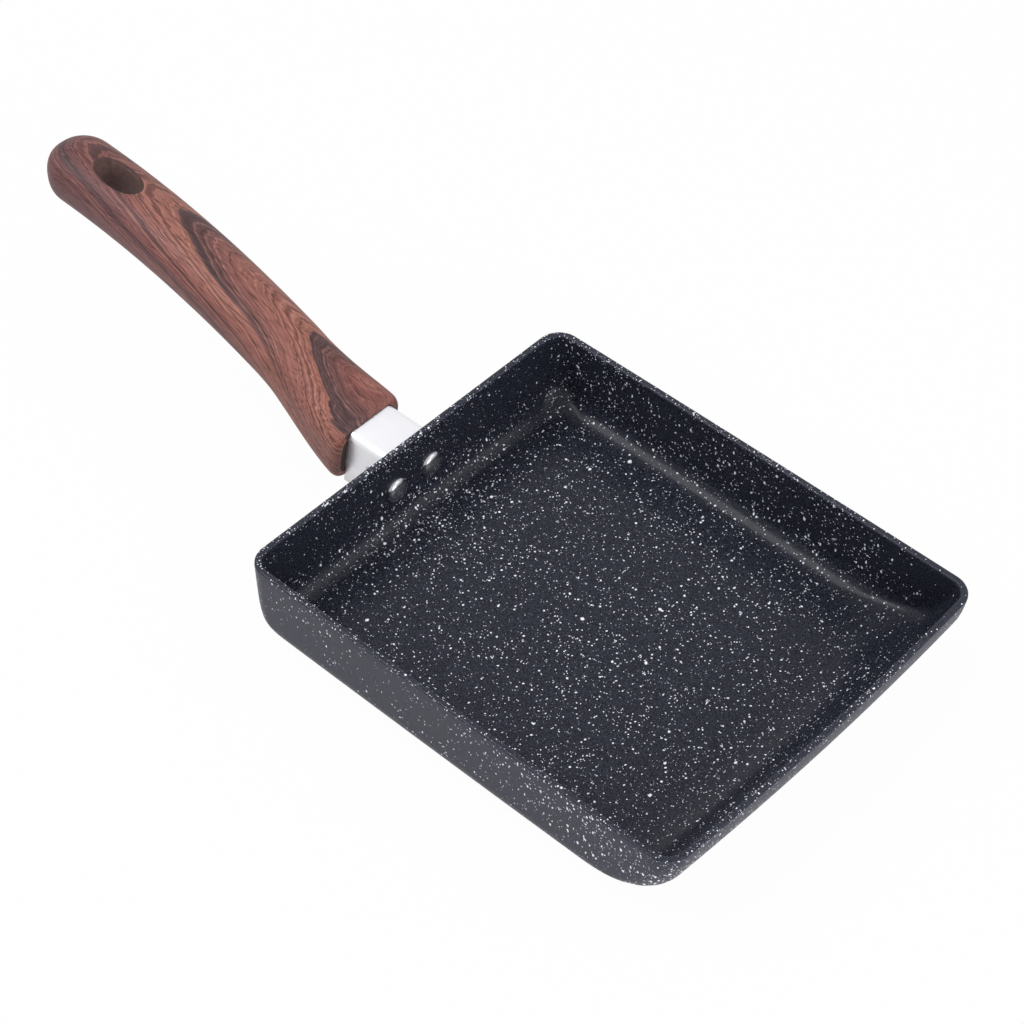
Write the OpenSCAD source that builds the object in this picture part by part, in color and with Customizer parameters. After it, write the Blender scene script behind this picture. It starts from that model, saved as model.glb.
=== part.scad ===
// Rectangular rolled-omelette pan with a riveted bracket and a moulded handle.
// Millimetres, +Z up. The origin is on the underside of the base, below the middle of the rim.
// +X runs away from the handle, so the handle points towards -X.

/* [Pan body] */
// Outer length of the rim, from the handle side to the middle of the far end
rim_length = 183.5; // [165:0.5:220]
// Outer width of the rim, across the middle
rim_width = 150.5; // [135:0.5:180]
// Height from the table to the top of the rim
pan_height = 32.5; // [31:0.5:38]
// Thickness of the walls
wall = 2.6; // [2:0.1:3]
// Thickness of the base
base_thick = 3; // [2:0.1:4]
// How far the far end wall leans in between the rim and the table
far_lean = 5.5; // [3:0.5:8]
// How far the wall at the handle leans in
handle_lean = 0.4; // [0.2:0.1:3]
// How far each long wall leans in
side_lean = 0.4; // [0:0.1:4]
// Corner radius of the rim, seen from above
rim_corner = 8.2; // [6:0.1:12]
// Corner radius of the base at the handle side, seen from above
near_corner = 22; // [14:0.5:28]
// Corner radius of the base at the far end, seen from above
far_corner = 40; // [30:0.5:46]
// Outer radius between the base and the long walls, and at the handle
heel_radius = 8.5; // [7:0.5:12]
// Outer radius between the base and the far end wall
far_heel = 34; // [26:0.5:38]
// Inner radius between the floor and the long walls, and at the handle
floor_radius = 7.5; // [5:0.5:10]
// Outward bow of the far end
end_bow = 2.2; // [0:0.1:3]
// Outward bow of each long side
side_bow = 0.3; // [0:0.1:1.5]
// Rounding of the rim's two edges
rim_round = 0.9; // [0.3:0.1:0.9]

/* [Rivets] */
// Distance between the two rivets
rivet_pitch = 16.8; // [15.5:0.1:19]
// Depth of the rivets below the rim
rivet_drop = 16.5; // [14.5:0.1:17]
// Diameter of the shank
rivet_shank = 5; // [4:0.1:5.5]
// Diameter of the domed head inside the pan
rivet_head = 9.6; // [8:0.1:10]
// Height of the domed head
rivet_dome = 2.2; // [1.4:0.1:2.6]
// Diameter of the closed head on the bracket
rivet_tail = 8; // [7:0.1:8.6]
// Height of the closed head
rivet_tail_high = 1.6; // [1:0.1:2.2]

/* [Bracket] */
// Thickness of the sheet
sheet = 1.8; // [1.4:0.1:2.2]
// Width of the neck between the pan and the handle
neck_width = 20.6; // [18:0.1:22]
// Height of the neck
neck_height = 24.3; // [23:0.1:25]
// Depth of the neck's top below the rim
neck_drop = 2.5; // [2:0.1:4]
// Length of the neck that shows, from the wall to the handle
neck_length = 19.1; // [16:0.1:23]
// Outer radius of the neck's bent corners
neck_corner = 2.6; // [2.3:0.1:3.5]
// Width of the front plate
plate_width = 32; // [29:0.5:34]
// Height of the front plate
plate_height = 17; // [15:0.5:18]
// Corner radius of the front plate
plate_corner = 4; // [2:0.5:6]
// Length of the neck that is inside the handle
neck_seat = 8; // [7:0.5:9]
// Height of the neck inside the handle, where its lower part is cut away
seat_height = 17; // [15:0.5:18]
// Width of the tongue
tongue_width = 14; // [12:0.5:15]
// Length of the tongue
tongue_length = 22; // [20:0.5:25]
// Length of the window in each side of the neck that the rivets are set through
window_length = 8; // [7:0.5:9]

/* [Handle] */
// Length of the handle, along X
handle_length = 151.5; // [140:0.5:175]
// Width of the handle's mouth
mouth_width = 31; // [29:0.5:33]
// Height of the handle's mouth
mouth_height = 26; // [25.5:0.5:28]
// Width of the grip
grip_width = 25.6; // [24:0.2:30]
// Thickness of the grip
grip_thick = 21.4; // [20:0.2:25]
// How far the middle of the tail stands above the middle of the mouth
handle_rise = 40; // [32:1:46]
// How quickly the handle levels out towards the tail, where 1 is a straight handle
handle_sweep = 2.1; // [1.8:0.1:2.5]
// Thickness of plastic over the neck at the mouth
mouth_cover = 1.5; // [1:0.1:1.8]
// Lean of the mouth from upright, in degrees
mouth_lean = 10; // [7:1:14]
// Length of the hanging hole
hang_length = 20; // [16:0.5:24]
// Width of the hanging hole
hang_width = 10; // [7:0.2:11]
// Distance from the tail to the middle of the hanging hole
hang_back = 31.5; // [26:0.5:40]
// Width of the bevel round the hanging hole
hang_bevel = 1.2; // [0.6:0.1:2]

/* [Handle screw] */
// Thread diameter
screw_diameter = 5; // [4:0.5:5]
// Diameter of the head
screw_head = 9; // [8:0.5:9.5]
// Height of the head
screw_head_high = 3; // [2.5:0.1:3.5]
// Distance from the end of the neck to the screw
screw_back = 12; // [11:0.5:13]
// Thickness of plastic that the screw clamps against the nut
screw_grip = 3; // [2.5:0.1:3.5]
// Width of the square nut
nut_width = 8; // [7:0.5:9]
// Thickness of the square nut
nut_thick = 3.2; // [2.8:0.1:3.6]
// Thickness of the spring washer
washer_thick = 1.2; // [1:0.1:1.6]

/* [Clearances] */
// Gap between faces that are clamped together
seat_gap = 0.02; // [0.01:0.01:0.05]
// Radial gap round a shank in its hole
shank_gap = 0.05; // [0.03:0.01:0.1]
// Gap between the bracket and the handle's pocket
pocket_gap = 0.3; // [0.2:0.05:0.4]

/* [Smoothness] */
// Points round each corner of the pan
corner_points = 12; // [8:1:16]
// Points round the handle
handle_points = 40; // [24:4:48]
// Rings along the handle
handle_rings = 36; // [24:2:44]

/* [Hidden] */
$fn = 64;
overlap = 0.01;

// Pan body
far_floor = far_heel - wall;
corner_growth = 7.2;
side_steps = 6;
arc_steps = 8;
wall_tilt = atan(handle_lean / pan_height);
wall_x = -rim_length / 2 + handle_lean * rivet_drop / pan_height;
rivet_z = pan_height - rivet_drop;

// Bracket and handle
neck_top = pan_height - neck_drop;
mouth_x = -rim_length / 2 - neck_length;
mouth_mid_z = neck_top + mouth_cover - mouth_height / 2 * cos(mouth_lean);
neck_end = mouth_x - neck_seat;
window_corner = 2;
mouth_squareness = 4.2;
grip_squareness = 2.5;
width_settles = 0.21;
thickness_settles = 0.3;
rise_settles = 0.255;
early_rise = 0.65;
mouth_edge = 1;
tail_round = 13;

// Handle screw, washer and nut
screw_x = neck_end - screw_back;
tongue_under = neck_top - sheet;
nut_under = tongue_under - seat_gap - nut_thick;
washer_seat = nut_under - screw_grip - 2 * seat_gap;
washer_under = washer_seat - washer_thick;
thread_room = 0.3;
cross_length = 4.8;
cross_width = 1;
cross_depth = 1.8;

function blend(a, b, t) = a + (b - a) * t;
function clamp01(t) = max(0, min(1, t));
// A smooth step from 0 to 1
function ease(t) = let (s = clamp01(t)) s * s * (3 - 2 * s);

// A closed skin through rings that all have the same number of points
module skin(rings) {
    count = len(rings[0]);
    last = len(rings) - 1;
    polyhedron(
        points = [for (ring = rings) for (p = ring) p],
        faces = concat(
            [[for (k = [0 : count - 1]) k]],
            [for (r = [0 : last - 1]) for (k = [0 : count - 1])
                let (a = r * count + k, b = r * count + (k + 1) % count)
                    for (half = [0, 1]) half == 0 ? [a, a + count, b] : [b, a + count, b + count]],
            [[for (k = [count - 1 : -1 : 0]) last * count + k]]),
        convexity = 8);
}

// Where the leaning mouth of the handle is at height z
function mouth_at(z) = mouth_x + (z - mouth_mid_z) * tan(mouth_lean);

// How far a face of a wall has come in at height z. It is straight down to an arc of this
// radius, and the arc ends flat at height low. The inner face starts a wall's thickness in.
function wall_inset(z, lean, radius, low, thick) =
    let (slope = atan(lean / pan_height),
         mid = low + radius,
         centre = (thick + radius) / cos(slope) + lean * (pan_height - mid) / pan_height)
    z >= mid - radius * sin(slope)
        ? thick / cos(slope) + lean * (pan_height - z) / pan_height
        : centre - sqrt(max(0, radius * radius - pow(mid - z, 2)));

// The corners get rounder towards the base
function corner_at(z, base_corner) =
    blend(rim_corner, base_corner, pow(1 - z / pan_height, corner_growth));

function corner_arc(x, y, radius, start) =
    [for (k = [0 : corner_points]) let (turn = start + 90 * k / corner_points)
        [x + radius * cos(turn), y + radius * sin(turn)]];
function points_between(a, b) = [for (k = [1 : side_steps - 1]) blend(a, b, k / side_steps)];

// One ring of the pan: a rounded rectangle with its own inset on each side, and bowed sides
function pan_ring(z, far, near, side, far_round, near_round) =
    let (x1 = rim_length / 2 - end_bow - far,
         x0 = -rim_length / 2 + near,
         y1 = rim_width / 2 - side_bow - side,
         middle = (x1 + x0) / 2,
         half = (x1 - x0) / 2,
         arcs = [corner_arc(x1 - far_round, y1 - far_round, far_round, 0),
                 corner_arc(x0 + near_round, y1 - near_round, near_round, 90),
                 corner_arc(x0 + near_round, near_round - y1, near_round, 180),
                 corner_arc(x1 - far_round, far_round - y1, far_round, 270)])
    [for (k = [0 : 3])
        for (p = concat(arcs[k], points_between(arcs[k][corner_points], arcs[(k + 1) % 4][0])))
            let (u = (p[0] - middle) / half, v = p[1] / y1)
                [p[0] + (u > 0 ? end_bow * (1 - v * v) * pow(u, 4) : 0),
                 p[1] + sign(v) * side_bow * (1 - u * u) * pow(v, 4), z]];

function outer_ring(z, inset) =
    pan_ring(z, wall_inset(z, far_lean, far_heel, 0, 0) + inset,
             wall_inset(z, handle_lean, heel_radius, 0, 0) + inset,
             wall_inset(z, side_lean, heel_radius, 0, 0) + inset,
             corner_at(z, far_corner), corner_at(z, near_corner));
function inner_ring(z, inset) =
    pan_ring(z, wall_inset(z, far_lean, far_floor, base_thick, wall) + inset,
             wall_inset(z, handle_lean, floor_radius, base_thick, wall) + inset,
             wall_inset(z, side_lean, floor_radius, base_thick, wall) + inset,
             corner_at(z, far_corner) - wall, corner_at(z, near_corner) - wall);

// Heights for the rings: along an arc of this radius that ends flat at height low
function arc_heights(radius, low) =
    [for (k = [0 : arc_steps]) low + radius * (1 - cos(90 * k / arc_steps))];
// Heights from the top of that arc up to the rounding of the rim
function wall_heights(start) =
    [for (k = [1 : 4]) blend(start, pan_height - rim_round, pow(k / 4, 1.3))];
function downwards(list) = [for (k = [len(list) - 1 : -1 : 0]) list[k]];

// In the plane of the outer face of the wall at the handle, centred between the rivets
module on_wall() {
    translate([wall_x, 0, rivet_z]) rotate([0, -wall_tilt, 0]) children();
}

module pan_body() {
    turns = [22.5 : 22.5 : 90];
    rim_up = [for (a = turns) [pan_height - rim_round * (1 - sin(a)), rim_round * (1 - cos(a))]];
    hole = rivet_shank + 2 * shank_gap;
    color("#2b2d34") difference() {
        skin(concat(
            [for (z = arc_heights(heel_radius, 0)) outer_ring(z, 0)],
            [for (z = wall_heights(heel_radius)) outer_ring(z, 0)],
            [for (e = rim_up) outer_ring(e[0], e[1])],
            [for (e = downwards(rim_up)) inner_ring(e[0], -e[1])],
            [for (z = downwards(wall_heights(base_thick + floor_radius))) inner_ring(z, 0)],
            [for (z = downwards(arc_heights(floor_radius, base_thick))) inner_ring(z, 0)]));
        on_wall() for (side = [-1, 1])
            translate([-wall, side * rivet_pitch / 2, 0]) rotate([0, 90, 0])
                cylinder(h = 3 * wall, d = hole);
    }
}

// A rivet: domed head inside the pan, shank, and the head that was closed on the bracket
module rivet(side) {
    grip_end = -sheet - 2 * seat_gap;
    dome_seat = wall + seat_gap;
    dome_ball = (pow(rivet_head / 2, 2) + pow(rivet_dome, 2)) / (2 * rivet_dome);
    color("#5b5d62") on_wall() translate([0, side * rivet_pitch / 2, 0]) rotate([0, 90, 0]) {
        translate([0, 0, grip_end]) cylinder(h = dome_seat - grip_end, d = rivet_shank);
        translate([0, 0, dome_seat]) intersection() {
            translate([0, 0, rivet_dome - dome_ball]) sphere(r = dome_ball);
            cylinder(h = 2 * rivet_dome, d = rivet_head);
        }
        translate([0, 0, grip_end - rivet_tail_high]) cylinder(h = rivet_tail_high, d = rivet_tail);
    }
}

module rounded_rectangle(wide, high, corner) {
    square([wide - 2 * corner, high], center = true);
    square([wide, high - 2 * corner], center = true);
    for (u = [-1, 1], v = [-1, 1])
        translate([u * (wide / 2 - corner), v * (high / 2 - corner)]) circle(r = corner);
}

// Section of the neck: a channel that is open below, drawn with its top at y = 0
module channel(wide, high, thick, corner) {
    difference() {
        union() {
            translate([0, -high / 2]) rounded_rectangle(wide, high, corner);
            translate([-wide / 2, -high]) square([wide, high / 2]);
        }
        translate([0, -high / 2 - thick])
            rounded_rectangle(wide - 2 * thick, high, corner - thick);
        translate([-wide / 2 + thick, -high - 1]) square([wide - 2 * thick, high / 2]);
    }
}

// Everything behind the handle's mouth and below the seat, as a prism across the neck
module behind_mouth() {
    step_z = neck_top - seat_height;
    low = -5;
    rotate([90, 0, 0]) linear_extrude(2 * neck_width, center = true) polygon([
        [neck_end - 1, step_z], [neck_end - 1, low],
        [mouth_at(low) + pocket_gap, low], [mouth_at(step_z) + pocket_gap, step_z]]);
}

module handle_bracket() {
    hidden = 2;
    beyond = 20;
    window_width = rivet_tail + 2;
    color("#d9dadc") difference() {
        union() {
            translate([neck_end, 0, neck_top]) rotate([90, 0, 90])
                linear_extrude(wall_x - neck_end + hidden)
                    channel(neck_width, neck_height, sheet, neck_corner);
            on_wall() translate([-sheet - seat_gap, 0, 0]) rotate([90, 0, 90])
                linear_extrude(sheet) rounded_rectangle(plate_width, plate_height, plate_corner);
            translate([neck_end - tongue_length, -tongue_width / 2, tongue_under])
                cube([tongue_length + hidden, tongue_width, sheet]);
        }
        behind_mouth();
        on_wall() translate([-seat_gap, -plate_width, -2 * beyond])
            cube([beyond, 2 * plate_width, 4 * beyond]);
        on_wall() for (side = [-1, 1]) translate([0, side * rivet_pitch / 2, 0]) {
            translate([-2 * sheet, 0, 0]) rotate([0, 90, 0])
                cylinder(h = 3 * sheet, d = rivet_shank + 2 * shank_gap);
            translate([-sheet - seat_gap - window_length / 2, 0, 0]) rotate([90, 0, 0])
                linear_extrude(window_width, center = true)
                    rounded_rectangle(window_length, window_width, window_corner);
        }
        translate([screw_x, 0, tongue_under - sheet])
            cylinder(h = 3 * sheet, d = screw_diameter + 2 * thread_room);
    }
}

// The handle's centre line in side view, from the mouth (t = 0) to the tail (t = 1)
function line_x(t) = mouth_x - handle_length * t;
function line_z(t) = mouth_mid_z + handle_rise * (1 - pow(max(0, 1 - t), handle_sweep))
    * blend(early_rise, 1, ease(t / rise_settles));
function line_tilt(t) =
    let (step = 0.002) atan((line_z(t + step) - line_z(t - step)) / (2 * step * handle_length));

function half_width(t) = blend(mouth_width, grip_width, ease(t / width_settles)) / 2;
function half_thick(t) = blend(mouth_height, grip_thick, ease(t / thickness_settles)) / 2;
// 2 is an ellipse, and a larger number is closer to a rectangle
function squareness(t) = blend(mouth_squareness, grip_squareness, clamp01(t / width_settles));

// One ring of the handle, in a plane that leans back by tilt
function handle_ring(t, narrower, thinner, tilt) =
    let (a = half_width(t) - narrower, b = half_thick(t) - thinner, power = 2 / squareness(t))
    [for (k = [0 : handle_points - 1])
        let (turn = 360 * k / handle_points,
             u = a * sign(cos(turn)) * pow(abs(cos(turn)), power),
             v = b * sign(sin(turn)) * pow(abs(sin(turn)), power))
            [line_x(t) + v * sin(tilt), u, line_z(t) + v * cos(tilt)]];

module handle_form() {
    first = mouth_edge / handle_length;
    last = 1 - tail_round / handle_length;
    skin(concat(
        [for (turn = [0 : 30 : 90])
            handle_ring(first * 2 * (1 - cos(turn)), mouth_edge * (1 - sin(turn)),
                        mouth_edge * (1 - sin(turn)), mouth_lean)],
        [for (k = [1 : handle_rings])
            let (t = blend(2 * first, last, k / handle_rings))
                handle_ring(t, 0, 0, blend(mouth_lean, line_tilt(t), clamp01(t / width_settles)))],
        [for (turn = [11 : 11 : 88])
            let (t = blend(last, 1, sin(turn)))
                handle_ring(t, half_width(t) * (1 - cos(turn)), half_thick(t) * (1 - pow(cos(turn), 0.7)),
                            line_tilt(min(t, 0.99)))]));
}

// Oval hole that widens outwards at both faces, which are this far apart
function oval_ring(z, grow) =
    [for (k = [0 : handle_points - 1]) let (turn = 360 * k / handle_points)
        [(hang_length / 2 + grow) * cos(turn), (hang_width / 2 + grow) * sin(turn), z]];
module hang_hole(high) {
    beyond = 4;
    throat = high / 2 - hang_bevel;
    skin([oval_ring(-throat - beyond, beyond), oval_ring(-throat, 0),
          oval_ring(throat, 0), oval_ring(throat + beyond, beyond)]);
}

module handle() {
    hang_t = 1 - hang_back / handle_length;
    beside_hole = grip_thick - 0.6;
    past_mouth = 20;
    deep = 40;
    head_seat = nut_under - seat_gap - screw_grip;
    color("#7a4a42") difference() {
        handle_form();
        translate([neck_end - pocket_gap, 0, neck_top + pocket_gap]) rotate([90, 0, 90])
            linear_extrude(neck_seat + past_mouth) translate([0, -seat_height / 2 - pocket_gap])
                rounded_rectangle(neck_width + 2 * pocket_gap, seat_height + 2 * pocket_gap, neck_corner);
        translate([neck_end - tongue_length - pocket_gap, -tongue_width / 2 - pocket_gap,
                   nut_under - seat_gap])
            cube([tongue_length + 1, tongue_width + 2 * pocket_gap, neck_top + pocket_gap - nut_under]);
        translate([screw_x, 0, head_seat - screw_grip])
            cylinder(h = 3 * screw_grip, d = screw_diameter + 2 * thread_room);
        translate([screw_x, 0, head_seat - deep]) cylinder(h = deep, d = screw_head + 2 * thread_room);
        translate([line_x(hang_t), 0, line_z(hang_t)]) rotate([0, line_tilt(hang_t), 0])
            hang_hole(beside_hole);
    }
}

module handle_screw() {
    head_top = washer_under - seat_gap;
    thread_end = tongue_under + sheet - thread_room;
    color("#9a9ca0") difference() {
        union() {
            translate([screw_x, 0, head_top - screw_head_high])
                cylinder(h = screw_head_high, d = screw_head);
            translate([screw_x, 0, head_top - overlap])
                cylinder(h = thread_end - head_top + overlap, d = screw_diameter);
        }
        for (turn = [0, 90])
            translate([screw_x, 0, head_top - screw_head_high]) rotate([0, 0, turn])
                cube([cross_length, cross_width, 2 * cross_depth], center = true);
    }
}

module spring_washer() {
    slit = 0.8;
    color("#8d8f93") translate([screw_x, 0, washer_under]) difference() {
        cylinder(h = washer_thick, d = screw_head - 0.4);
        translate([0, 0, -washer_thick])
            cylinder(h = 3 * washer_thick, d = screw_diameter + thread_room);
        translate([0, -slit / 2, -washer_thick]) cube([screw_head, slit, 3 * washer_thick]);
    }
}

module weld_nut() {
    color("#a5a7aa") translate([screw_x, 0, nut_under]) difference() {
        translate([-nut_width / 2, -nut_width / 2, 0]) cube([nut_width, nut_width, nut_thick]);
        translate([0, 0, -nut_thick])
            cylinder(h = 3 * nut_thick, d = screw_diameter + 2 * shank_gap);
    }
}

pan_body();
rivet(1);  // rivet_left
rivet(-1);  // rivet_right
handle_bracket();
handle();
handle_screw();
spring_washer();
weld_nut();
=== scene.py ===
# %% [markdown]
# # A rolled-omelette pan in a white studio
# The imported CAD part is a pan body, two rivets, a bent metal bracket, a handle and three small
# fasteners. This lesson builds smooth pieces over them and gives each one its real finish: a
# non-stick coat full of pale flecks, polished rivets, satin metal and a rosewood print.
# The CAD is loaded first and never moves, so every piece is built straight in its frame.

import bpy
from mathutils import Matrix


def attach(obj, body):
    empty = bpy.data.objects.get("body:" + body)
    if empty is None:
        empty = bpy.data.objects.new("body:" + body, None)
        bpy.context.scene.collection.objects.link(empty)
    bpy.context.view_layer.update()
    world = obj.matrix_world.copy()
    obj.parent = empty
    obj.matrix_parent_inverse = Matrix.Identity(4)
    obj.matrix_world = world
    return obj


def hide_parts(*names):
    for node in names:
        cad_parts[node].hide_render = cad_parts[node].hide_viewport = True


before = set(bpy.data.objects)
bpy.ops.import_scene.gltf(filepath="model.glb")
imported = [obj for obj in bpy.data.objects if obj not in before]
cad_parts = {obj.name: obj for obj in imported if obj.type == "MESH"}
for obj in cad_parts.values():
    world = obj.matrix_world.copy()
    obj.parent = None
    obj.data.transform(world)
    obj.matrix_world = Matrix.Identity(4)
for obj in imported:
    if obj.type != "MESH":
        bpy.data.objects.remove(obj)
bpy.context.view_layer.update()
print("nodes:", sorted(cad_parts))

# %% Tools
import math

import bmesh
import bpy
from mathutils import Matrix, Vector

scene = bpy.context.scene
MM = 0.001

# %% [markdown]
# ## Camera
# The photograph was taken from in front of the far end, well above the pan, with a long lens.
# A camera can be aimed with a constraint, but a fixed place, a direction and a small roll say
# the same thing in three values and stay put when the model changes.

# %% Place the camera
camera = bpy.data.objects.new("camera", bpy.data.cameras.new("camera"))
scene.collection.objects.link(camera)
scene.camera = camera
camera.data.sensor_width = 36
camera.data.lens = 104.15
camera.location = (0.41119, -0.47934, 0.73889)
looking = Vector((-0.46966, 0.49510, -0.73096))
roll = math.radians(-0.735)
turned = looking.to_track_quat("-Z", "Y").to_matrix() @ Matrix.Rotation(roll, 3, "Z")
camera.rotation_euler = turned.to_euler()
camera.data.clip_start, camera.data.clip_end = 0.05, 20
print("camera at", tuple(camera.location), "lens", camera.data.lens)

# %% [markdown]
# ## Node helpers
# A material is a small graph. Writing out every node and link by hand hides the idea, so one
# helper adds a node, sets its options and fills its sockets. A socket given as another node's
# output is linked, and anything else is typed in as a value. The sums, ranges and mixes that
# come back in every material then take one line each.

# %% Helper that adds a node
def add(tree, kind, sockets=None, **options):
    node = tree.nodes.new("ShaderNode" + kind)
    for name, value in options.items():
        setattr(node, name, value)
    for name, value in (sockets or {}).items():
        if isinstance(value, bpy.types.NodeSocket):
            tree.links.new(value, node.inputs[name])
        else:
            node.inputs[name].default_value = value
    return node


# %% Sums and ranges
def math_node(tree, operation, a, b=0.0, clamp=False):
    return add(tree, "Math", {0: a, 1: b}, operation=operation, use_clamp=clamp).outputs[0]


def times(tree, product, *factors):
    for factor in factors:
        product = math_node(tree, "MULTIPLY", product, factor)
    return product


def scaled_and_moved(tree, value, scale, move):
    return add(tree, "Math", {0: value, 1: scale, 2: move}, operation="MULTIPLY_ADD").outputs[0]


def mapped(tree, value, old_low, old_high, new_low=0.0, new_high=1.0, **options):
    sockets = {"Value": value, "From Min": old_low, "From Max": old_high, "To Min": new_low,
               "To Max": new_high}
    return add(tree, "MapRange", sockets, **options).outputs[0]


# %% Colours
def hex_colour(text):
    parts = [int(text[k:k + 2], 16) / 255 for k in (0, 2, 4)]
    return tuple(((c + 0.055) / 1.055) ** 2.4 if c > 0.04045 else c / 12.92 for c in parts) + (1,)


def mixed(tree, factor, a, b, blend="MIX"):
    return add(tree, "Mix", {0: factor, 6: a, 7: b}, data_type="RGBA", blend_type=blend).outputs[2]


def ramp(tree, factor, stops):
    node = add(tree, "ValToRGB", {0: factor})
    while len(node.color_ramp.elements) < len(stops):
        node.color_ramp.elements.new(0.5)
    for element, (place, colour) in zip(node.color_ramp.elements, stops):
        element.position = place
        element.color = hex_colour(colour) if isinstance(colour, str) else colour
    return node.outputs[0]


def new_material(name, **values):
    material = bpy.data.materials.new(name)
    material.use_nodes = True
    tree = material.node_tree
    shader = tree.nodes["Principled BSDF"]
    for socket, value in values.items():
        shader.inputs[socket.replace("_", " ")].default_value = value
    return material, tree, shader


print("a mid grey is", [round(c, 3) for c in hex_colour("808080")])

# %% [markdown]
# ## Studio
# Product photographs of pans are shot on white paper that fades into the background. The
# paper here is a floor that looks white to the camera, while it keeps a faint shadow and still
# takes part in the soft light. Close to a pan real paper lies in its shade, so reflections of
# the floor take only part of the glow.

# %% Floor and world
paper_glow, glow_in_mirrors, room_light = 0.97, 0.55, 0.55


def white_to_the_eye(tree, mirrored=1.0):
    path = add(tree, "LightPath")
    seen = math_node(tree, "MAXIMUM", path.outputs["Is Camera Ray"],
                     times(tree, path.outputs["Is Glossy Ray"], mirrored))
    return math_node(tree, "MAXIMUM", seen, path.outputs["Is Transmission Ray"])


bm = bmesh.new()
bmesh.ops.create_circle(bm, cap_ends=True, radius=6, segments=64)
floor_mesh = bpy.data.meshes.new("floor")
bm.to_mesh(floor_mesh)
bm.free()
floor = bpy.data.objects.new("floor", floor_mesh)
scene.collection.objects.link(floor)

paper, tree, shader = new_material("studio_paper", Base_Color=(0.8, 0.8, 0.8, 1), Roughness=0.9)
shader.inputs["Specular IOR Level"].default_value = 0.0
glow = add(tree, "Emission", {"Color": (1, 1, 1, 1), "Strength": 1.0})
share = times(tree, white_to_the_eye(tree, glow_in_mirrors), paper_glow)
blend = add(tree, "MixShader", {0: share, 1: shader.outputs[0], 2: glow.outputs[0]})
tree.links.new(blend.outputs[0], tree.nodes["Material Output"].inputs["Surface"])
floor_mesh.materials.append(paper)

world = bpy.data.worlds.new("studio")
scene.world = world
world.use_nodes = True
tree = world.node_tree
strength = mapped(tree, white_to_the_eye(tree), 0.0, 1.0, room_light, 1.0)
tree.links.new(strength, tree.nodes["Background"].inputs["Strength"])
tree.nodes["Background"].inputs["Color"].default_value = (1, 1, 1, 1)
scene.view_settings.view_transform = "Standard"
print("paper and world are lit")

# %% [markdown]
# ## Lamps
# Studio lamps are large cloth boxes: a key high on the handle's side, a weaker fill across from
# it, and a low one in front of the far end that reaches the wall with the rivets. A sun lamp
# would be simpler, but it cuts hard shadows and pinpoint highlights, so these are area lamps.

# %% Soft lamps
def soft_lamp(name, place, aim, size, watts):
    lamp = bpy.data.objects.new(name, bpy.data.lights.new(name, "AREA"))
    lamp.data.size, lamp.data.energy = size, watts
    lamp.location = place
    lamp.rotation_euler = (Vector(aim) - Vector(place)).to_track_quat("-Z", "Y").to_euler()
    scene.collection.objects.link(lamp)


soft_lamp("key", (-0.85, -0.6, 1.5), (-0.05, 0, 0), 1.0, 13.5)
soft_lamp("fill", (1.1, 0.6, 1.3), (-0.05, 0, 0), 1.2, 6)
soft_lamp("front", (1.5, -0.35, 0.65), (-0.05, 0, 0.02), 0.9, 8)

# %% [markdown]
# ## Sizes
# The pieces are drawn from the same named sizes as the CAD source, in millimetres, so that
# they lie exactly where the solids are. Measuring the CAD mesh would also work, but the sizes
# make rounder and smoother shapes than its facets.

# %% Sizes shared with the CAD source
rim_length, rim_width, pan_height = 183.5, 150.5, 32.5
wall, base_thick = 2.6, 3.0
far_lean, handle_lean, side_lean = 5.5, 0.4, 0.4
rim_corner, near_corner, far_corner, corner_growth = 8.2, 22.0, 40.0, 7.2
heel_radius, far_heel, floor_radius = 8.5, 34.0, 7.5
end_bow, side_bow, rim_round = 2.2, 0.3, 0.9
neck_drop, sheet, neck_width, neck_length = 2.5, 1.8, 20.6, 19.1
neck_seat, seat_height, neck_corner = 8.0, 17.0, 2.6
handle_length, mouth_width, mouth_height = 151.5, 31.0, 26.0
grip_width, grip_thick, mouth_cover, mouth_lean = 25.6, 21.4, 1.5, 10.0
handle_rise, handle_sweep = 40.0, 2.1
hang_length, hang_width, hang_back, hang_bevel = 20.0, 10.0, 31.5, 1.2
rivet_pitch, rivet_drop, rivet_shank = 16.8, 16.5, 5.0
rivet_head, rivet_dome, rivet_tail, rivet_tail_high = 9.6, 2.2, 8.0, 1.6
pocket_gap, seat_gap = 0.3, 0.02
print("the pan body is", rim_length, "by", rim_width, "by", pan_height, "mm")

# %% Places worked out from the sizes
wall_tilt = math.atan(handle_lean / pan_height)
wall_x = -rim_length / 2 + handle_lean * rivet_drop / pan_height
rivet_z = pan_height - rivet_drop
neck_top = pan_height - neck_drop
lean = math.radians(mouth_lean)
mouth_x = -rim_length / 2 - neck_length
mouth_mid_z = neck_top + mouth_cover - mouth_height / 2 * math.cos(lean)
neck_end = mouth_x - neck_seat
print("the handle's mouth is at x =", round(mouth_x, 2), "mm")

# %% [markdown]
# ## Lofting with a bmesh
# The pan and the handle are both skins over a row of rings. A skin can be built from lists of
# faces, but extruding one open edge loop again and again gives the same surface with no
# bookkeeping: each new ring carries its points' numbers along, and is then moved into place.

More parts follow.
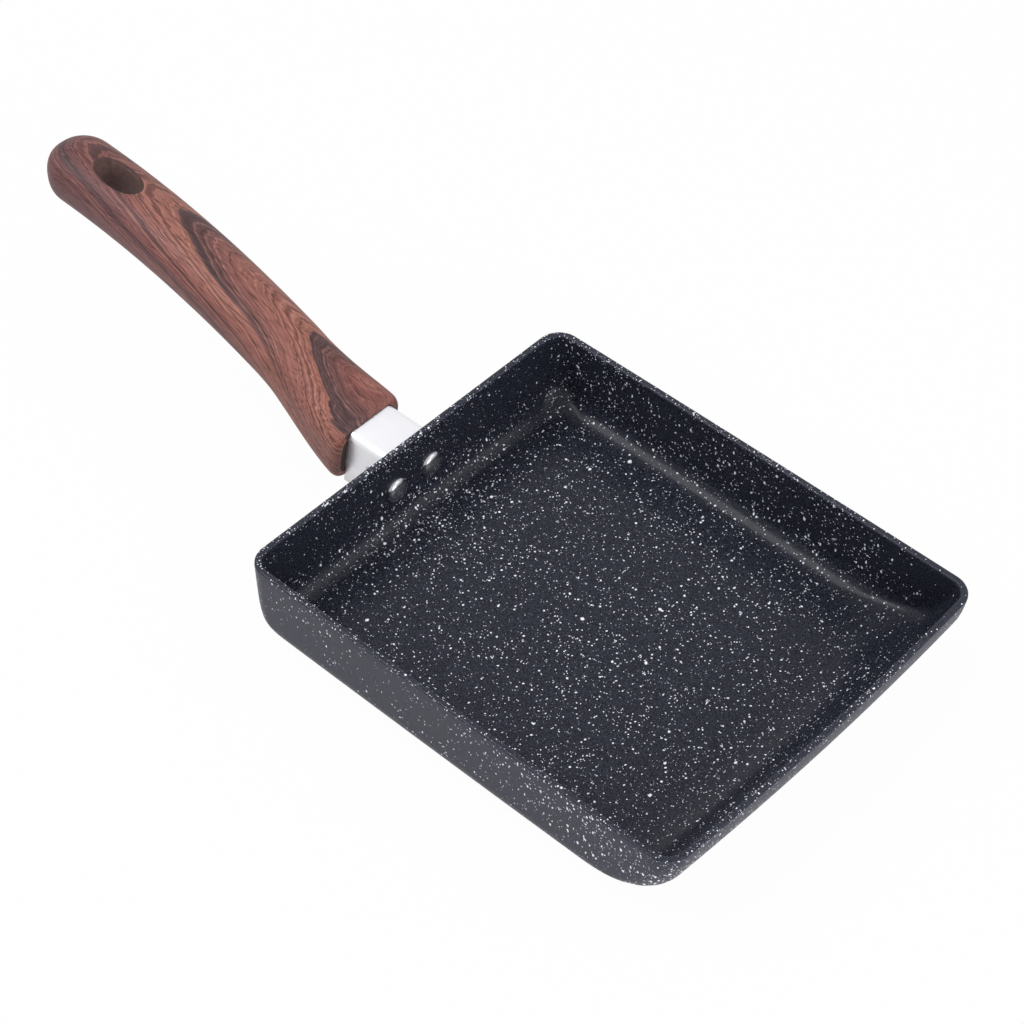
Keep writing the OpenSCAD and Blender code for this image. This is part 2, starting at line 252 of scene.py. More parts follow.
# %% Helper that lofts rings
def loft(rings, ring_marks=None):
    bm = bmesh.new()
    place = bm.verts.layers.int.new("place")
    first = [bm.verts.new(Vector(p) * MM) for p in rings[0]]
    for k, vert in enumerate(first):
        vert[place] = k
    start = bm.faces.new(first)
    loop = list(start.edges)
    for number, ring in enumerate(rings[1:], 1):
        made = bmesh.ops.extrude_edge_only(bm, edges=loop)["geom"]
        for part in made:
            if isinstance(part, bmesh.types.BMVert):
                part.co = Vector(ring[part[place]]) * MM
            if isinstance(part, bmesh.types.BMFace) and ring_marks:
                part.material_index = ring_marks[number]
        loop = [e for e in made if isinstance(e, bmesh.types.BMEdge) and e.is_boundary]
    end = bmesh.ops.contextual_create(bm, geom=loop)["faces"][0]
    if ring_marks:
        start.material_index, end.material_index = ring_marks[0], ring_marks[-1]
    bmesh.ops.recalc_face_normals(bm, faces=bm.faces)
    return bm, start, end


# %% Helpers that finish a piece
def finish_mesh(mesh, name, node, materials, sharp_degrees=35):
    for material in materials[len(mesh.materials):]:
        mesh.materials.append(material)
    mesh.shade_smooth()
    mesh.set_sharp_from_angle(angle=math.radians(sharp_degrees))
    piece = bpy.data.objects.new(name, mesh)
    scene.collection.objects.link(piece)
    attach(piece, "root")
    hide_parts(node)
    print(name, "has", len(mesh.polygons), "faces")
    return piece


def finish_piece(bm, name, node, materials):
    mesh = bpy.data.meshes.new(name)
    bm.to_mesh(mesh)
    bm.free()
    finish_mesh(mesh, name, node, materials)


# %% [markdown]
# ## Flecks
# The non-stick coat is a near-black fluoropolymer with pale flecks in it. Painting them is not
# possible without a picture, and a noise gives clouds rather than chips. A Voronoi texture does
# have a point in each cell, so a small distance to that point draws a fleck. The cell's random
# colour decides three things: red whether it has a fleck, green how large, and blue how pale.

# %% Group that scatters flecks
ragged_edge, crispness = 0.0007, 19.0
smallest, size_range, mostly_small = 0.6, 1.2, 2.5

flecks = bpy.data.node_groups.new("flecks", "ShaderNodeTree")
for name, kind in (("Vector", "NodeSocketVector"), ("Cells", "NodeSocketFloat"),
                   ("Radius", "NodeSocketFloat"), ("Share", "NodeSocketFloat")):
    flecks.interface.new_socket(name, in_out="INPUT", socket_type=kind)
for name in ("Mask", "Random"):
    flecks.interface.new_socket(name, in_out="OUTPUT", socket_type="NodeSocketFloat")
given = flecks.nodes.new("NodeGroupInput").outputs
wobble = add(flecks, "TexNoise", {"Vector": given["Vector"], "Scale": 1400, "Detail": 1})
offset = add(flecks, "VectorMath", {0: wobble.outputs["Color"], 1: (0.5, 0.5, 0.5)},
             operation="SUBTRACT")
bent = add(flecks, "VectorMath", {0: offset.outputs[0], 1: (ragged_edge,) * 3,
                                  2: given["Vector"]}, operation="MULTIPLY_ADD")
cells = add(flecks, "TexVoronoi", {"Vector": bent.outputs[0], "Scale": given["Cells"]})
shown, size, paleness = add(flecks, "SeparateColor", {0: cells.outputs["Color"]}).outputs
size = scaled_and_moved(flecks, math_node(flecks, "POWER", size, mostly_small), size_range,
                        smallest)
inside = math_node(flecks, "SUBTRACT", times(flecks, size, given["Radius"]),
                   cells.outputs["Distance"])
edge = math_node(flecks, "MULTIPLY", inside, crispness, clamp=True)
chosen = math_node(flecks, "LESS_THAN", shown, given["Share"])
result = flecks.nodes.new("NodeGroupOutput").inputs
flecks.links.new(times(flecks, edge, chosen), result["Mask"])
flecks.links.new(paleness, result["Random"])
print("flecks group has", len(flecks.nodes), "nodes")


# %% Helpers for the coats
def fleck_layer(tree, vector, cells, radius, share):
    return add(tree, "Group", {"Vector": vector, "Cells": cells, "Radius": radius,
                               "Share": share}, node_tree=flecks).outputs


def nearness(tree, place, spot, far, near, low, high):
    away = add(tree, "VectorMath", {0: place, 1: [c * MM for c in spot]}, operation="DISTANCE")
    return mapped(tree, away.outputs["Value"], far * MM, near * MM, low, high)


# %% [markdown]
# ## Non-stick coat
# The inside and the outside get the same coat, but not evenly: a fine grit, a dust of flecks,
# small chips and a few large ones, more of them in patches and in one crowded spot, few of them
# in one corner, and a rim rubbed to grey. Two materials written out would repeat all that, so
# one recipe makes both coats. Its cells are counted per metre. Dust and chips are the shares of
# cells that hold a fleck, and they are doubled first, because the patches let only about half
# of the flecks through. Crowd is a spot, its reach and how many times more flecks it has, bare
# is the share left in the far corner, and wear is how grey the rim is.

# %% One recipe for both coats
rub_start, rub_end, rubbed_grey = 31.3, 32.3, "50525f"
bare_corner, bare_far, bare_near, crowd_near = (84, 73, 26), 36, 14, 12
fine_cells, fine_radius, large_cells, large_radius = 1600, 0.28, 250, 0.12
chip_cells, chip_stretch, chip_growth = 800, (1.0, 1.0, 0.6), 0.028
doubled, fewer_large = 2.0, 0.6


def coat(name, dark, light, dust, chips, chip_size, crowd, bare, wear, ior, roughness):
    material, tree, shader = new_material(name, IOR=ior, Roughness=roughness)
    place = add(tree, "TexCoord").outputs["Object"]
    grit = add(tree, "TexNoise", {"Vector": place, "Scale": 2100, "Detail": 2,
                                  "Roughness": 0.7}).outputs["Fac"]
    height = add(tree, "SeparateXYZ", {0: place}).outputs[2]
    at_rim = mapped(tree, height, rub_start * MM, rub_end * MM)
    base = mixed(tree, times(tree, at_rim, wear), ramp(tree, grit, [(0.37, dark), (0.63, light)]),
                 hex_colour(rubbed_grey))

    spot, crowd_far, more = crowd
    crowded = nearness(tree, place, spot, crowd_far, crowd_near, 1.0, more)
    sparse = nearness(tree, place, bare_corner, bare_far, bare_near, 1.0, bare)
    patches = add(tree, "TexNoise", {"Vector": place, "Scale": 50, "Detail": 2}).outputs["Fac"]
    uneven = mapped(tree, patches, 0.3, 0.7, 0.35, 0.65)
    rate = times(tree, crowded, sparse, uneven, math_node(tree, "ADD", at_rim, 1.0))

    long_way = add(tree, "VectorMath", {0: place, 1: chip_stretch}, operation="MULTIPLY")
    chip_radius = nearness(tree, place, spot, crowd_far, crowd_near, chip_size,
                           chip_size + chip_growth * (more - 1))
    fine = fleck_layer(tree, place, fine_cells, fine_radius, times(tree, rate, doubled * dust))
    middle = fleck_layer(tree, long_way.outputs[0], chip_cells, chip_radius,
                         times(tree, rate, doubled * chips))
    large = fleck_layer(tree, place, large_cells, large_radius,
                        times(tree, rate, doubled * fewer_large * chips))
    greys = ramp(tree, fine["Random"], [(0.0, "888b97"), (0.4, "eff2ff"), (1.0, "f6f8ff")])
    colour = mixed(tree, fine["Mask"], base, greys)
    colour = mixed(tree, middle["Mask"], colour, hex_colour("f2f5ff"))
    colour = mixed(tree, large["Mask"], colour, hex_colour("f8faff"))
    tree.links.new(colour, shader.inputs["Base Color"])
    bump = add(tree, "Bump", {"Height": math_node(tree, "ADD", grit, large["Mask"]),
                              "Strength": 0.15, "Distance": 0.00005})
    tree.links.new(bump.outputs[0], shader.inputs["Normal"])
    return material


# %% The two coats
inner_coat = coat("inner_coat", "060709", "353847", dust=0.21, chips=0.195, chip_size=0.21,
                  crowd=((-92, 0, 22), 46, 2.1), bare=0.06, wear=0.15, ior=1.26, roughness=0.24)
outer_coat = coat("outer_coat", "0a0a16", "2c2c46", dust=0.1, chips=0.24, chip_size=0.15,
                  crowd=((85, -72, 15), 76, 3.8), bare=1.0, wear=0.7, ior=1.42, roughness=0.4)
print("coats:", inner_coat.name, outer_coat.name)

# %% [markdown]
# ## Pan body
# The body is pressed and coated: near-upright long walls, a far end that slopes so that the
# omelette rolls out, corners that get rounder towards the base, and a rounded rim. Its
# section differs on every side, so it is lofted from rings that go up the outside, over the
# rim and down the inside.

# %% Section of a wall
def wall_inset(z, lean_in, radius, low, thick):
    slope = math.atan(lean_in / pan_height)
    mid = low + radius
    if z >= mid - radius * math.sin(slope):
        return thick / math.cos(slope) + lean_in * (pan_height - z) / pan_height
    centre = (thick + radius) / math.cos(slope) + lean_in * (pan_height - mid) / pan_height
    return centre - math.sqrt(max(0, radius ** 2 - (mid - z) ** 2))


def corner_at(z, base_corner):
    return rim_corner + (base_corner - rim_corner) * (1 - z / pan_height) ** corner_growth


print("the far wall's foot is", round(wall_inset(0, far_lean, far_heel, 0, 0), 1), "mm inside")


# %% Rings of the pan
def pan_ring(z, far, near, side, far_round, near_round, corner_steps=24, side_steps=12):
    x1, x0 = rim_length / 2 - end_bow - far, -rim_length / 2 + near
    y1 = rim_width / 2 - side_bow - side
    middle, half = (x1 + x0) / 2, (x1 - x0) / 2
    arcs = []
    for sx, sy, r, start in ((x1 - far_round, y1 - far_round, far_round, 0),
                             (x0 + near_round, y1 - near_round, near_round, 90),
                             (x0 + near_round, near_round - y1, near_round, 180),
                             (x1 - far_round, far_round - y1, far_round, 270)):
        turns = [math.radians(start + 90 * k / corner_steps) for k in range(corner_steps + 1)]
        arcs.append([(sx + r * math.cos(a), sy + r * math.sin(a)) for a in turns])
    points = []
    for k, arc in enumerate(arcs):
        (ax, ay), (bx, by) = arc[-1], arcs[(k + 1) % 4][0]
        between = [j / side_steps for j in range(1, side_steps)]
        points += arc + [(ax + (bx - ax) * s, ay + (by - ay) * s) for s in between]
    ring = []
    for x, y in points:
        u, v = (x - middle) / half, y / y1
        bow_x = end_bow * (1 - v * v) * u ** 4 if u > 0 else 0
        bow_y = math.copysign(side_bow * (1 - u * u) * v ** 4, v)
        ring.append((x + bow_x, y + bow_y, z))
    return ring


def outer_ring(z, inset=0.0):
    return pan_ring(z, wall_inset(z, far_lean, far_heel, 0, 0) + inset,
                    wall_inset(z, handle_lean, heel_radius, 0, 0) + inset,
                    wall_inset(z, side_lean, heel_radius, 0, 0) + inset,
                    corner_at(z, far_corner), corner_at(z, near_corner))


def inner_ring(z, inset=0.0):
    return pan_ring(z, wall_inset(z, far_lean, far_heel - wall, base_thick, wall) + inset,
                    wall_inset(z, handle_lean, floor_radius, base_thick, wall) + inset,
                    wall_inset(z, side_lean, floor_radius, base_thick, wall) + inset,
                    corner_at(z, far_corner) - wall, corner_at(z, near_corner) - wall)


print("a ring of the pan has", len(outer_ring(0)), "points")


# %% Loft the pan
arc_steps, wall_steps, rim_steps = 16, 8, 6
outer_rim_rings, flat_border = 2, 1.5


def heights(radius, low):
    arc = [low + radius * (1 - math.cos(math.pi / 2 * k / arc_steps)) for k in range(arc_steps + 1)]
    top = pan_height - rim_round
    return arc + [arc[-1] + (top - arc[-1]) * k / wall_steps for k in range(1, wall_steps + 1)]


turns = [math.pi / 2 * k / rim_steps for k in range(1, rim_steps + 1)]
rim = [(pan_height - rim_round * (1 - math.sin(a)), rim_round * (1 - math.cos(a))) for a in turns]
rings = [outer_ring(z) for z in heights(heel_radius, 0)]
outside = len(rings) + outer_rim_rings
rings += [outer_ring(z, inset) for z, inset in rim]
rings += [inner_ring(z, -inset) for z, inset in reversed(rim)]
rings += [inner_ring(z) for z in reversed(heights(floor_radius, base_thick))]
bm, underside, inner_floor = loft(rings, [int(k < outside) for k in range(len(rings))])
bmesh.ops.inset_individual(bm, faces=[underside, inner_floor], thickness=flat_border * MM)
finish_piece(bm, "pan_shell", "pan_body", [inner_coat, outer_coat])

# %% [markdown]
# ## Shape of the handle
# The handle rises from a leaning mouth, turns level at the tail, and its section changes from
# nearly square to rounded on the way. A curve with a bevel would keep one section, so each ring
# is worked out from its share of the length, from 0 at the mouth to 1 at the tail.

# %% The handle's centre line and section
settle, thin_settle, rise_settle, early_rise = 0.21, 0.3, 0.255, 0.65
mouth_square, grip_square = 4.2, 2.5


def ease(s):
    s = min(1.0, max(0.0, s))
    return s * s * (3 - 2 * s)


def line_z(t):
    rise = handle_rise * (1 - max(0.0, 1 - t) ** handle_sweep)
    return mouth_mid_z + rise * (early_rise + (1 - early_rise) * ease(t / rise_settle))


def line_x(t):
    return mouth_x - handle_length * t


def line_tilt(t):
    step = 0.002
    return math.atan((line_z(t + step) - line_z(t - step)) / (2 * step * handle_length))


def handle_ring(t, narrower, thinner, tilt, points=72):
    half_w = (mouth_width + (grip_width - mouth_width) * ease(t / settle)) / 2 - narrower
    half_h = (mouth_height + (grip_thick - mouth_height) * ease(t / thin_settle)) / 2 - thinner
    power = 2 / (mouth_square + (grip_square - mouth_square) * min(1.0, max(0.0, t / settle)))
    ring = []
    for k in range(points):
        c, s = math.cos(2 * math.pi * k / points), math.sin(2 * math.pi * k / points)
        u = half_w * math.copysign(abs(c) ** power, c)
        v = half_h * math.copysign(abs(s) ** power, s)
        ring.append((line_x(t) + v * math.sin(tilt), u, line_z(t) + v * math.cos(tilt)))
    return ring


print("the handle rises", round(line_z(1) - line_z(0), 1), "mm from mouth to tail")


# %% [markdown]
# ## Bare plastic of the handle
# The print covers only the outside. The mouth's edge and the cut faces show the dark phenolic below
# it. Painted shade darkens that plastic at the mouth's end and around the flared rims of the
# hanging hole, and the straight throat of the hole keeps the paler plastic colour. More material
# slots could tell those places apart, but they are known from where they lie on the straightened
# handle, which every point of the handle carries as the attribute "grain".

# %% Core plastic
throat_half, tail_part = 0.0093, 0.05
core_plastic, tree, shader = new_material("core_plastic", Roughness=0.6, IOR=1.3)
grain = add(tree, "Attribute", attribute_name="grain").outputs["Vector"]
along, across, up = add(tree, "SeparateXYZ", {0: grain}).outputs
speckle = add(tree, "TexNoise", {"Vector": grain, "Scale": 600, "Detail": 3}).outputs["Fac"]
# painted shade: a dark tone for the mouth's end and the hanging hole's flared rims
painted_shade_tone = ramp(tree, speckle, [(0.3, "342420"), (0.7, "483330")])
moulded = ramp(tree, speckle, [(0.3, "6a534f"), (0.7, "7e6662")])
deep = math_node(tree, "LESS_THAN", math_node(tree, "ABSOLUTE", up), throat_half)
# share of the plain plastic colour: none at the mouth, a little on the hole's flared rims, all of
# it in the throat
share_without_painted_shade = times(tree, scaled_and_moved(tree, deep, 0.7, 0.3),
                math_node(tree, "GREATER_THAN", along, tail_part))
tree.links.new(mixed(tree, share_without_painted_shade, painted_shade_tone, moulded), shader.inputs["Base Color"])
print("core plastic has", len(tree.nodes), "nodes")

# %% [markdown]
# ## Rosewood print
# The outside has a rosewood print under a satin lacquer. Its long pointed arcs are what a saw
# shows when it cuts slightly across a tree's rings. A wave texture gives bands of one width, so
# the pattern is built as a tree is: rings round a heart that sinks away from the surface
# towards the tail, cut by the handle. Noise bends the rings and makes them ragged, and near the
# mouth they are drawn out sideways, which puts the second flame in its place.

# %% Rings of the tree
heart_side, heart_deep, heart_sink, ring_scale = 0.009, 0.0107, 0.2, 25.0
drift_reach, ragged_reach, drawn_out, drawn_until = 0.007, 0.0013, 0.34, 0.05
wood_print, tree, shader = new_material("wood_print", Roughness=0.5, IOR=1.4)
grain = add(tree, "Attribute", attribute_name="grain").outputs["Vector"]
along, across, up = add(tree, "SeparateXYZ", {0: grain}).outputs


def stretched_noise(scale, detail):
    stretch = add(tree, "Mapping", {"Vector": grain, "Scale": scale})
    return add(tree, "TexNoise", {"Vector": stretch.outputs[0], "Scale": 1.0,
                                  "Detail": detail}).outputs["Fac"]


def waver(scale, detail, reach):
    return scaled_and_moved(tree, stretched_noise(scale, detail), reach, -reach / 2)


drift = waver((14, 70, 70), 2, drift_reach)
sideways = math_node(tree, "ADD", math_node(tree, "SUBTRACT", across, heart_side), drift)
sideways = times(tree, sideways, mapped(tree, along, 0.0, drawn_until, drawn_out, 1.0,
                                        interpolation_type="SMOOTHSTEP"))
depth = math_node(tree, "ADD", times(tree, along, heart_sink),
                  math_node(tree, "SUBTRACT", heart_deep, up))
squares = math_node(tree, "ADD", times(tree, sideways, sideways), times(tree, depth, depth))
ragged = waver((70, 800, 800), 3, ragged_reach)
from_heart = math_node(tree, "ADD", math_node(tree, "SQRT", squares), ragged)
growth = times(tree, from_heart, ring_scale)
print("the heart starts", heart_deep / MM, "mm above the centre line")

# %% [markdown]
# ### Colours from the heart outwards
# A ramp gives each ring its colour: two dark flames that end in a sharp outer edge, red wood
# between them, and a thin dark line. Toward the mouth the outer rings fade into plain red wood,
# while the heart keeps its flame. Strands follow the rings, pores and bright streaks run along
# the handle, and the tail is a little darker.

# %% Flames
plain_wood, heart_end = "a06c60", 0.22
fade_start, fade_end, fade_left = 0.02, 0.062, 0.3
figure = ramp(tree, growth, [
    (0.00, "9a655c"), (0.05, "925e55"), (0.09, "77504c"), (0.13, "5f4444"), (0.172, "523b3c"),
    (0.182, "ab7464"), (0.30, "a06c60"), (0.38, "94635a"), (0.43, "75514e"), (0.475, "50393c"),
    (0.492, "4a3538"), (0.503, "ad7868"), (0.56, "a67264"), (0.64, "97635a"), (0.672, "8f5e56"),
    (0.685, "553c3f"), (0.70, "94625a"), (0.78, "845856"), (0.82, "5a4144"), (0.86, "8b5e5a"),
    (1.00, "805654")])
in_heart = math_node(tree, "LESS_THAN", growth, heart_end)
kept = math_node(tree, "MAXIMUM",
                 mapped(tree, along, fade_start, fade_end, fade_left, 1.0), in_heart)
fading = mixed(tree, kept, hex_colour(plain_wood), figure)
print("the heart's flame reaches", round(heart_end / ring_scale / MM, 1), "mm from the heart")

# %% Strands, pores and bright streaks
strand_scale, streak_strength, streak_colour = 1500.0, 1.8, "c4907c"
strands = add(tree, "TexNoise", {"W": times(tree, from_heart, strand_scale), "Scale": 1.0,
                                 "Detail": 5, "Roughness": 0.7},
              noise_dimensions="1D").outputs["Fac"]
strand_tone = ramp(tree, strands, [(0.30, "92878a"), (0.44, "dcd4d4"), (0.56, "ffffff")])
lined = mixed(tree, 1.0, fading, strand_tone, "MULTIPLY")
fibres = stretched_noise((160, 3600, 3600), 3)
pores = ramp(tree, fibres, [(0.34, "8c7f82"), (0.50, "ffffff")])
combed = mixed(tree, 1.0, lined, pores, "MULTIPLY")
bright = times(tree, mapped(tree, strands, 0.55, 0.78, 0.0, 0.6),
               stretched_noise((60, 1500, 1500), 2))
streak = math_node(tree, "MULTIPLY", bright, streak_strength, clamp=True)
streaked = mixed(tree, streak, combed, hex_colour(streak_colour))
print("strands lie about", round(1 / strand_scale / MM, 2), "mm apart")

# %% Shade of the tail
shares_in_a_metre = 6.6
along_share = times(tree, along, shares_in_a_metre)
tail_shade = ramp(tree, along_share, [(0.55, (1, 0.955, 0.975, 1)), (0.85, "dfd7de")])
shaded = mixed(tree, 1.0, streaked, tail_shade, "MULTIPLY")
tree.links.new(shaded, shader.inputs["Base Color"])
bump = add(tree, "Bump", {"Height": fibres, "Strength": 0.12, "Distance": 0.00005})
tree.links.new(bump.outputs[0], shader.inputs["Normal"])
print("wood print has", len(tree.nodes), "nodes")

# %% [markdown]
# ## Handle
# The handle flares to a leaning mouth that the metal neck goes into, and its round tail has an
# oval hole to hang it by. The outside is a loft. The pocket, the screw's recess and the hole
# are cut with Boolean modifiers, because they cross the loft's rings at odd angles, and the
# cutters' faces bring the core plastic with them.

# %% Loft the handle
tail_round, mouth_edge, mouth_lip = 13.0, 1.6, 1.2
edge_steps, body_rings, tail_steps, tail_turn, tail_fullness = 6, 110, 16, 88, 0.7
first, last = mouth_edge / handle_length, 1 - tail_round / handle_length
rings = [handle_ring(0, mouth_edge + mouth_lip, mouth_edge + mouth_lip, lean)]
for k in range(edge_steps + 1):
    turn = math.pi / 2 * k / edge_steps
    inset = mouth_edge * (1 - math.sin(turn))
    rings.append(handle_ring(2 * first * (1 - math.cos(turn)), inset, inset, lean))
for k in range(1, body_rings + 1):
    t = 2 * first + (last - 2 * first) * k / body_rings
    share = min(1.0, t / settle)
    rings.append(handle_ring(t, 0, 0, lean + (line_tilt(t) - lean) * share))
for k in range(1, tail_steps + 1):
    turn = math.radians(tail_turn * k / tail_steps)
    t = last + (1 - last) * math.sin(turn)
    rings.append(handle_ring(t, grip_width / 2 * (1 - math.cos(turn)),
                             grip_thick / 2 * (1 - math.cos(turn) ** tail_fullness),
                             line_tilt(min(t, 0.99))))
bm = loft(rings, [1] + [0] * (len(rings) - 1))[0]
handle_mesh = bpy.data.meshes.new("handle_shape")
bm.to_mesh(handle_mesh)
bm.free()
print("handle loft has", len(rings), "rings")


# %% Helpers for cutters
def rounded_box(x0, x1, width, top, height, corner):
    bm = bmesh.new()
    bmesh.ops.create_cube(bm, size=1, matrix=Matrix.Translation(
        ((x0 + x1) / 2 * MM, 0, (top - height / 2) * MM)) @ Matrix.Diagonal(
        ((x1 - x0) * MM, width * MM, height * MM, 1)))
    if corner:
        lengthwise = [e for e in bm.edges if abs(e.verts[0].co.x - e.verts[1].co.x) > 1 * MM]
        bmesh.ops.bevel(bm, geom=lengthwise, offset=corner * MM, offset_type="OFFSET", segments=6,
                        profile=0.5, affect="EDGES", material=-1)
    return bm


def as_cutter(bm, name):
    for face in bm.faces:
        face.material_index = 1
    mesh = bpy.data.meshes.new(name)
    bm.to_mesh(mesh)
    bm.free()
    for material in (wood_print, core_plastic):
        mesh.materials.append(material)
    cutter = bpy.data.objects.new(name, mesh)
    scene.collection.objects.link(cutter)
    return cutter


# %% Cutters of the pocket and the screw's recess
tongue_length, tongue_width, nut_thick, screw_grip, screw_back = 22.0, 14.0, 3.2, 3.0, 12.0
recess_radius, recess_deep, past_mouth, into_pocket = 4.8, 40, 20, 1
screw_x = neck_end - screw_back
nut_under = neck_top - sheet - seat_gap - nut_thick
head_seat = nut_under - seat_gap - screw_grip
pocket_top = neck_top + pocket_gap
pocket = as_cutter(rounded_box(neck_end - pocket_gap, mouth_x + past_mouth,
                               neck_width + 2 * pocket_gap, pocket_top,
                               seat_height + 2 * pocket_gap, neck_corner), "pocket_cutter")
tongue_room = as_cutter(rounded_box(neck_end - tongue_length - pocket_gap, neck_end + into_pocket,
                                    tongue_width + 2 * pocket_gap, pocket_top,
                                    pocket_top - nut_under, 0), "tongue_cutter")
bm = bmesh.new()
bmesh.ops.create_cone(bm, cap_ends=True, segments=48, radius1=recess_radius * MM,
                      radius2=recess_radius * MM, depth=recess_deep * MM,
                      matrix=Matrix.Translation(
                          (screw_x * MM, 0, (head_seat - recess_deep / 2) * MM)))
screw_room = as_cutter(bm, "screw_cutter")
print("the screw's head sits at z =", round(head_seat, 2), "mm")

# %% Cutter of the hanging hole
dip_beside_hole, past_skin = 0.6, 4
hang_t = 1 - hang_back / handle_length
tilted = Matrix.Translation((line_x(hang_t) * MM, 0, line_z(hang_t) * MM)) @ Matrix.Rotation(
    line_tilt(hang_t), 4, "Y")
throat = (grip_thick - dip_beside_hole) / 2 - hang_bevel


def oval_ring(z, points=48):
    grow = max(0.0, abs(z) - throat)
    turns = [2 * math.pi * k / points for k in range(points)]
    return [((hang_length / 2 + grow) * math.cos(a), (hang_width / 2 + grow) * math.sin(a), z)
            for a in turns]


levels = [-throat - past_skin, -throat, -throat / 2, 0, throat / 2, throat, throat + past_skin]
bm = loft([oval_ring(z) for z in levels])[0]
bmesh.ops.transform(bm, matrix=tilted, verts=bm.verts)
hang_cutter = as_cutter(bm, "hang_cutter")
print("the hanging hole is straight for", round(2 * throat, 1), "mm")


# %% Cut the handle
def cut(mesh, cutters):
    body = bpy.data.objects.new("being_cut", mesh)
    scene.collection.objects.link(body)
    for material in (wood_print, core_plastic):
        mesh.materials.append(material)
    for cutter in cutters:
        modifier = body.modifiers.new(cutter.name, "BOOLEAN")
        modifier.operation, modifier.solver, modifier.object = "DIFFERENCE", "EXACT", cutter
    solid = body.evaluated_get(bpy.context.evaluated_depsgraph_get())
    result = bpy.data.meshes.new_from_object(solid)
    for leftover in [body] + cutters:
        bpy.data.objects.remove(leftover)
    return result


cut_mesh = cut(handle_mesh, [pocket, tongue_room, screw_room, hang_cutter])
handle = finish_mesh(cut_mesh, "grip_handle", "handle", [wood_print, core_plastic], 30)

# %% Give each point its place on the straightened handle
where = handle.data.attributes.new("grain", "FLOAT_VECTOR", "POINT")
for vert, item in zip(handle.data.vertices, where.data):
    x, y, z = vert.co / MM
    t = (mouth_x - x) / handle_length
    tilt = line_tilt(min(max(t, 0.0), 0.99))
    height = (z - line_z(min(max(t, 0.0), 1.0))) * math.cos(tilt)
    item.vector = Vector((t * handle_length, y, height)) * MM
print("grain runs along", round(handle_length), "mm")

# %% [markdown]
# ## Metals
# The rivets are polished, the bracket has a bright satin skin with fine lines along its
# length, and the small fasteners are plated with zinc. One roughness all over would be simpler,
# but real metal is never evenly smooth, so one group makes soft streaks that change the
# roughness, and each metal uses it with its own strength.

# %% Group of fine streaks
streaks = bpy.data.node_groups.new("streaks", "ShaderNodeTree")
for name, way, kind in (("Stretch", "INPUT", "Vector"), ("Low", "INPUT", "Float"),
                        ("High", "INPUT", "Float"), ("Roughness", "OUTPUT", "Float"),
                        ("Height", "OUTPUT", "Float")):
    streaks.interface.new_socket(name, in_out=way, socket_type="NodeSocket" + kind)
given = streaks.nodes.new("NodeGroupInput").outputs
place = add(streaks, "TexCoord").outputs["Object"]
drawn = add(streaks, "Mapping", {"Vector": place, "Scale": given["Stretch"]}).outputs[0]
lines = add(streaks, "TexNoise", {"Vector": drawn, "Scale": 1.0, "Detail": 4}).outputs["Fac"]
result = streaks.nodes.new("NodeGroupOutput").inputs
streaks.links.new(mapped(streaks, lines, 0.3, 0.7, given["Low"], given["High"]),
                  result["Roughness"])
streaks.links.new(lines, result["Height"])
print("streaks group has", len(streaks.nodes), "nodes")


# %% Three metals
def metal(name, colour, stretch, low, high, bump_strength):
    material, tree, shader = new_material(name, Metallic=1.0, Base_Color=hex_colour(colour))
    layer = add(tree, "Group", {"Stretch": stretch, "Low": low, "High": high}, node_tree=streaks)
    tree.links.new(layer.outputs["Roughness"], shader.inputs["Roughness"])
    bump = add(tree, "Bump", {"Height": layer.outputs["Height"], "Strength": bump_strength,
                              "Distance": 0.00005})
    tree.links.new(bump.outputs[0], shader.inputs["Normal"])
    return material


satin = metal("satin_steel", "ebebef", (60, 2500, 2500), 0.3, 0.5, 0.15)
polished = metal("polished_aluminium", "b0b0b6", (400, 400, 400), 0.2, 0.28, 0.01)
zinc = metal("zinc_plate", "b8babc", (500, 500, 500), 0.25, 0.45, 0.1)
print("metals:", satin.name, polished.name, zinc.name)

# %% [markdown]
# ## Rivets
# Each rivet has a domed head inside the pan, a shank through the wall and the bracket, and a
# closed head outside. It is round, so half of its outline is drawn once and spun. The dome is
# fuller than a ball's cap, with steep shoulders that catch a bright crescent.

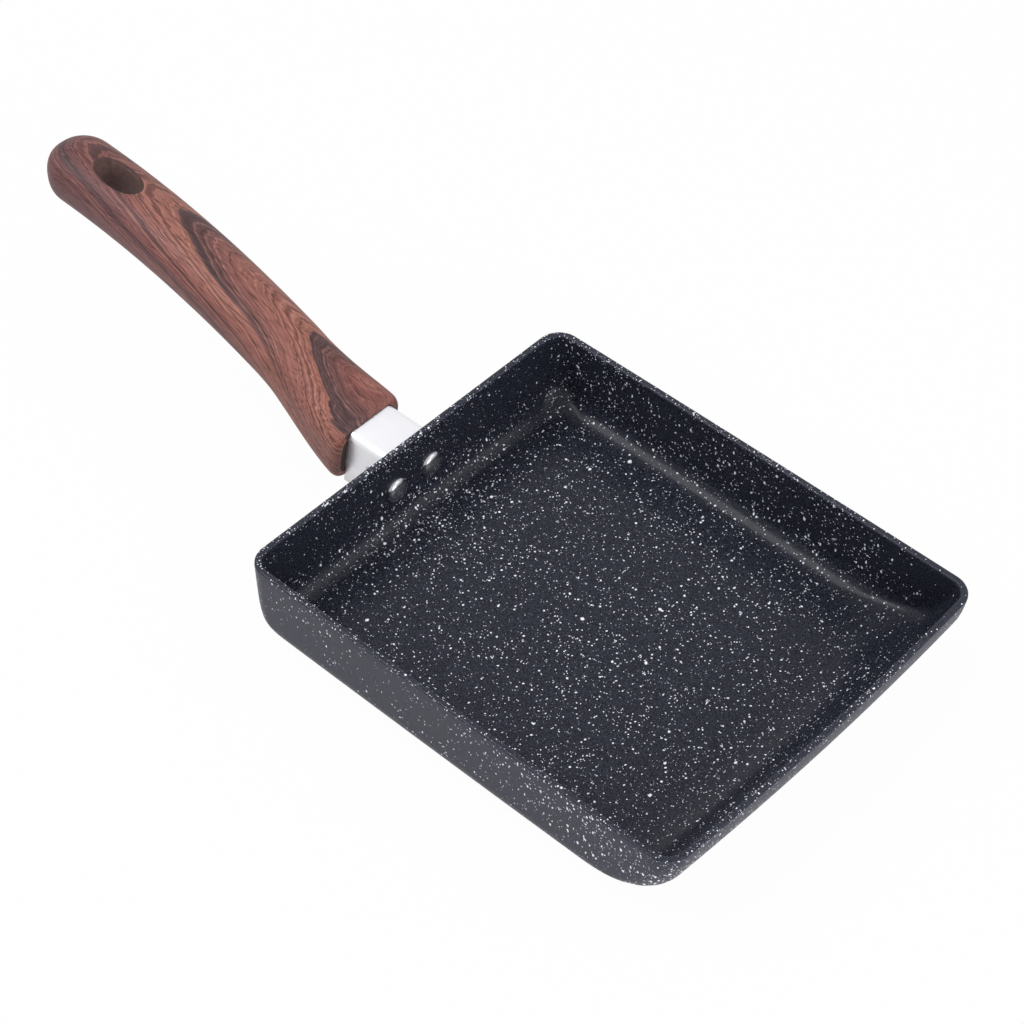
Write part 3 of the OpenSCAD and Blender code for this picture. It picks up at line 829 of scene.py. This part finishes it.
# %% Outline of a rivet
dome_steps, dome_fullness, tail_bevel, tail_nick = 16, 0.7, 0.7, 0.2
dome_seat, grip_end = wall + seat_gap, -sheet - 2 * seat_gap
tail_end, tail_radius = grip_end - rivet_tail_high, rivet_tail / 2
profile = [(0.0, tail_end), (tail_radius - tail_bevel, tail_end),
           (tail_radius - tail_nick, tail_end + tail_nick), (tail_radius, tail_end + tail_bevel),
           (tail_radius, grip_end), (rivet_shank / 2, grip_end), (rivet_shank / 2, dome_seat),
           (rivet_head / 2, dome_seat)]
for k in range(1, dome_steps + 1):
    turn = math.pi / 2 * k / dome_steps
    profile.append((rivet_head / 2 * math.cos(turn) ** dome_fullness,
                    dome_seat + rivet_dome * math.sin(turn)))
print("outline of", len(profile), "points")

# %% Spin the rivets
on_wall = Matrix.Translation((wall_x * MM, 0, rivet_z * MM)) @ Matrix.Rotation(-wall_tilt, 4, "Y")
for hand, side in (("left", 1), ("right", -1)):
    bm = bmesh.new()
    points = [bm.verts.new((height * MM, radius * MM, 0)) for radius, height in profile]
    edges = [bm.edges.new(pair) for pair in zip(points, points[1:])]
    bmesh.ops.spin(bm, geom=points + edges, axis=(1, 0, 0), cent=(0, 0, 0), steps=64,
                   angle=2 * math.pi, use_merge=True)
    bmesh.ops.remove_doubles(bm, verts=bm.verts, dist=1e-6)
    bmesh.ops.recalc_face_normals(bm, faces=bm.faces)
    bmesh.ops.transform(bm, verts=bm.verts, matrix=on_wall @ Matrix.Translation(
        (0, side * rivet_pitch / 2 * MM, 0)))
    finish_piece(bm, "domed_rivet_" + hand, "rivet_" + hand, [polished])

# %% [markdown]
# ## Bracket and fasteners
# The bracket is folded from sheet, and its cut edges are slightly rounded. The CAD shape is
# right, so a copy of its mesh is merged, its flat triangles are dissolved into whole faces,
# and a small bevel on every sharp edge catches the light as a real fold does.

# %% Bevelled copies of the CAD nodes
flat_angle, fold_angle = math.radians(1), 0.6


def bevelled_copy(node, name, material, width):
    bm = bmesh.new()
    bm.from_mesh(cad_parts[node].data)
    bmesh.ops.remove_doubles(bm, verts=bm.verts, dist=1e-6)
    bmesh.ops.dissolve_limit(bm, angle_limit=flat_angle, verts=bm.verts, edges=bm.edges)
    sharp = [e for e in bm.edges if len(e.link_faces) == 2 and e.calc_face_angle() > fold_angle]
    bmesh.ops.bevel(bm, geom=sharp, offset=width * MM, offset_type="OFFSET", segments=2,
                    profile=0.5, affect="EDGES", material=-1, clamp_overlap=True)
    finish_piece(bm, name, node, [material])


bevelled_copy("handle_bracket", "folded_bracket", satin, 0.25)
bevelled_copy("handle_screw", "cross_screw", zinc, 0.15)
bevelled_copy("spring_washer", "split_washer", zinc, 0.1)
bevelled_copy("weld_nut", "square_nut", zinc, 0.2)
